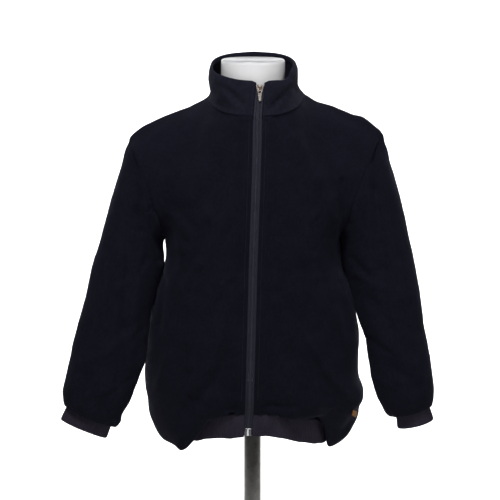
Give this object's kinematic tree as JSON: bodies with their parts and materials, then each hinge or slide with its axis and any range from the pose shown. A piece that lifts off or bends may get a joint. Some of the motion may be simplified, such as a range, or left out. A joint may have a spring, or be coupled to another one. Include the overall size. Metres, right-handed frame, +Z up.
{
  "type": "fleece zip jacket on a limbless dress form",
  "caption": "Dark fleece zip jacket with a stand collar, rib cuffs and waistband and a small orange side tab, on a white limbless dress form and chrome stand.",
  "frame": {"origin": "middle of the underside of the stand's base, on the floor", "axes": "+Z up, the jacket's front faces -Y, +X is the picture's right"},
  "size_m": [0.5994, 0.3, 1.2234],
  "materials": {
    "fleece": "dark navy brushed fleece with a short nap",
    "rib": "charcoal plum two by two rib knit",
    "tab": "plain orange woven tab",
    "tape": "dark navy woven zip tape",
    "chain": "dark navy moulded zip teeth",
    "slider": "silvery metal with a warm tint",
    "steel": "bright metal",
    "form": "smooth glossy white",
    "chrome": "polished chrome"
  },
  "bodies": {
    "jacket_and_form": {"front_left": "fleece", "front_right": "fleece", "back": "fleece", "sleeve_left": "fleece", "sleeve_right": "fleece", "collar": "fleece", "waistband": "rib", "cuff_left": "rib", "cuff_right": "rib", "side_tab": "tab", "zip_tape_left": "tape", "zip_tape_right": "tape", "zip_chain": "chain", "zip_box": "steel", "zip_slider": "slider", "zip_crown": "slider", "form_torso": "form", "form_neck": "form", "stand_pole": "chrome", "stand_socket": "chrome", "stand_base": "chrome"},
    "pull_tab": {"zip_pull": "slider"}
  },
  "joints": [
    {"name": "zip_pull_hinge", "type": "hinge", "parent": "jacket_and_form", "child": "pull_tab", "pos_m": [0.00944, -0.07581, 1.17445], "axis": [-1, 0, 0], "range_deg": [0, 150]}
  ]
}
